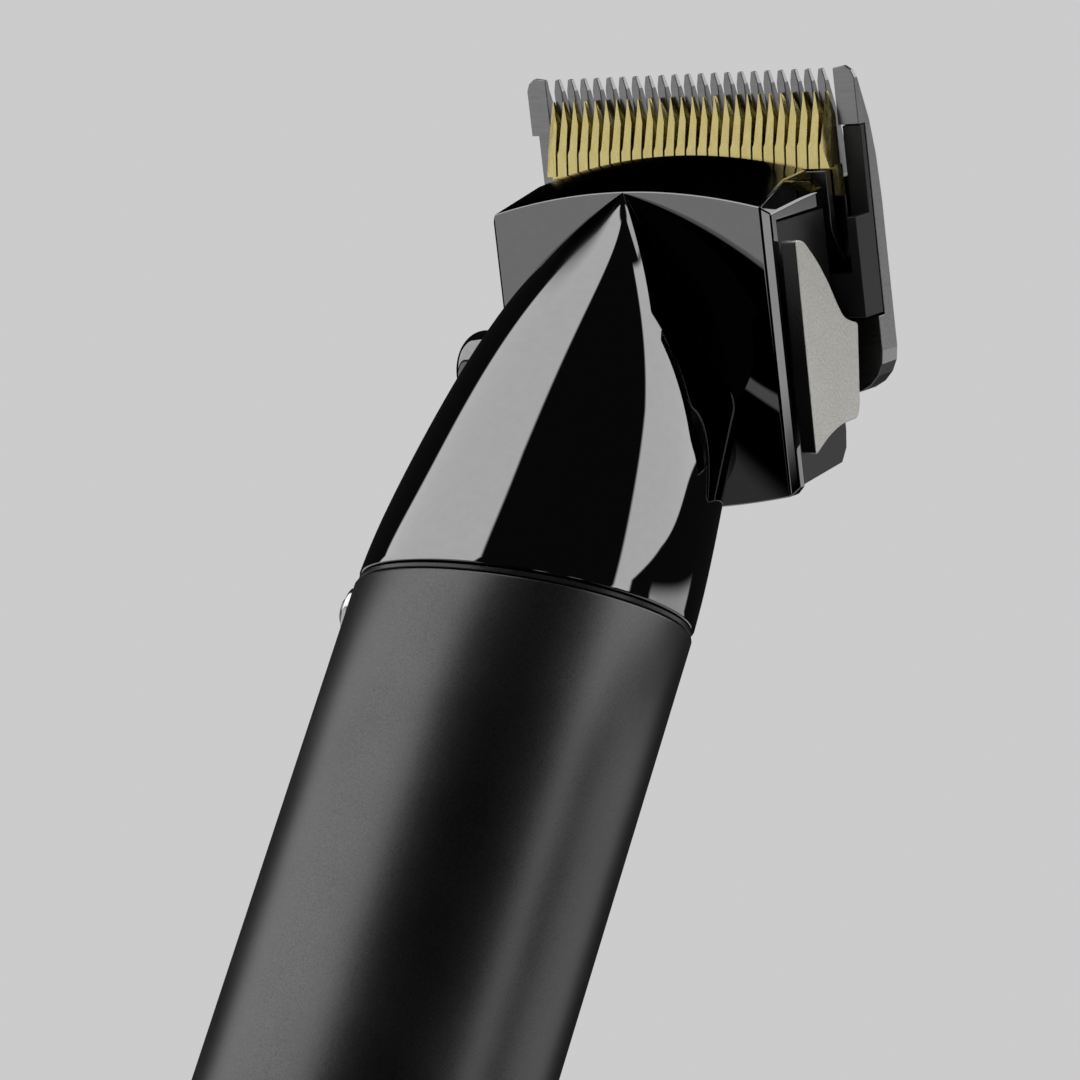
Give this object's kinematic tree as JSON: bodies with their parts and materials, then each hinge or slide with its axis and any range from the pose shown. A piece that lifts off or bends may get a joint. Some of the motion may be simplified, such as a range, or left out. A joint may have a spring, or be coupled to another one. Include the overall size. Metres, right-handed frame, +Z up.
{
  "type": "hair clipper",
  "caption": "Cordless hair clipper: tubular handle, forward-tipped hammer head, fixed and reciprocating comb blades, side taper lever and power button.",
  "frame": {"origin": "centre of the flat base of the end cap, on the handle's axis", "axes": "+Z up the handle to the blades, -Y the side the head's front face leans over, +X the taper lever's side"},
  "size_m": [0.051, 0.0446, 0.18],
  "materials": {
    "gloss_shell": "mirror-gloss black, metallised",
    "satin_housing": "satin black",
    "matte_tube": "bead-blasted, anodised black",
    "seam_trim": "satin black",
    "gloss_button": "gloss black",
    "bright_trim": "polished",
    "blade_steel": "ground steel",
    "gold_blade": "gold-coloured hard coat over ground steel",
    "satin_lever": "satin nickel plate",
    "screw_steel": "turned, plated",
    "steel_parts": "plated",
    "bright_parts": "bright plated strip and rod",
    "contact_brass": "bare",
    "inner_plastic": "moulded black",
    "board": "green solder mask",
    "cell_wrap": "shrink-wrapped cell",
    "magnet": "sintered grey",
    "nylon": "natural"
  },
  "bodies": {
    "housing": {"head_shell": "gloss_shell", "rear_housing": "satin_housing", "housing_screw_1": "screw_steel", "housing_screw_2": "screw_steel", "housing_screw_3": "screw_steel", "housing_screw_4": "screw_steel", "body_shell": "matte_tube", "seam_ring": "seam_trim", "end_cap": "satin_housing", "charge_socket": "steel_parts", "charge_contact_left": "contact_brass", "charge_contact_right": "contact_brass", "cap_screw_left": "screw_steel", "cap_screw_right": "screw_steel", "chassis": "inner_plastic", "battery_cell": "cell_wrap", "battery_tab_negative": "bright_parts", "battery_tab_positive": "bright_parts", "control_board": "board", "switch_board": "board", "tact_switch": "inner_plastic", "button_bezel": "bright_trim", "motor_can": "steel_parts", "motor_magnet": "magnet", "motor_end_bell": "nylon", "motor_bearing": "contact_brass", "motor_mount": "bright_parts", "mount_screw_left": "screw_steel", "mount_screw_right": "screw_steel", "detent_spring": "bright_parts"},
    "button": {"power_button": "gloss_button"},
    "rotor": {"motor_rotor": "steel_parts", "motor_shaft": "bright_parts", "eccentric": "contact_brass"},
    "cutter": {"moving_blade": "gold_blade", "blade_yoke": "blade_steel", "drive_fork": "inner_plastic"},
    "lever": {"taper_lever": "satin_lever", "lever_shaft": "steel_parts", "lever_cam": "bright_parts", "taper_knob": "gloss_button"},
    "carriage": {"fixed_blade": "blade_steel", "blade_carriage": "inner_plastic", "blade_screw_left": "screw_steel", "blade_screw_right": "screw_steel"}
  },
  "joints": [
    {"name": "button_press", "type": "slide", "parent": "housing", "child": "button", "axis": [0.9205, 0.3907, 0], "range_m": [0, 0.0005], "stiffness_N_per_m": 1500},
    {"name": "motor_spin", "type": "hinge", "parent": "housing", "child": "rotor", "pos_m": [0, 0.0055, 0.15], "axis": [0, 0, 1], "continuous": true},
    {"name": "blade_stroke", "type": "slide", "parent": "housing", "child": "cutter", "axis": [1, 0, 0], "range_m": [-0.00142, 0.00098]},
    {"name": "taper_turn", "type": "hinge", "parent": "housing", "child": "lever", "pos_m": [0, 0.0119, 0.14748], "axis": [-1, 0, 0], "range_deg": [0, 27]},
    {"name": "taper_slide", "type": "slide", "parent": "housing", "child": "carriage", "axis": [0, -0.6428, 0.766], "range_m": [-0.00181, 0]}
  ],
  "couplings": [
    {"joint": "taper_turn", "follows": "taper_slide", "rad_per_m": -259.5}
  ]
}
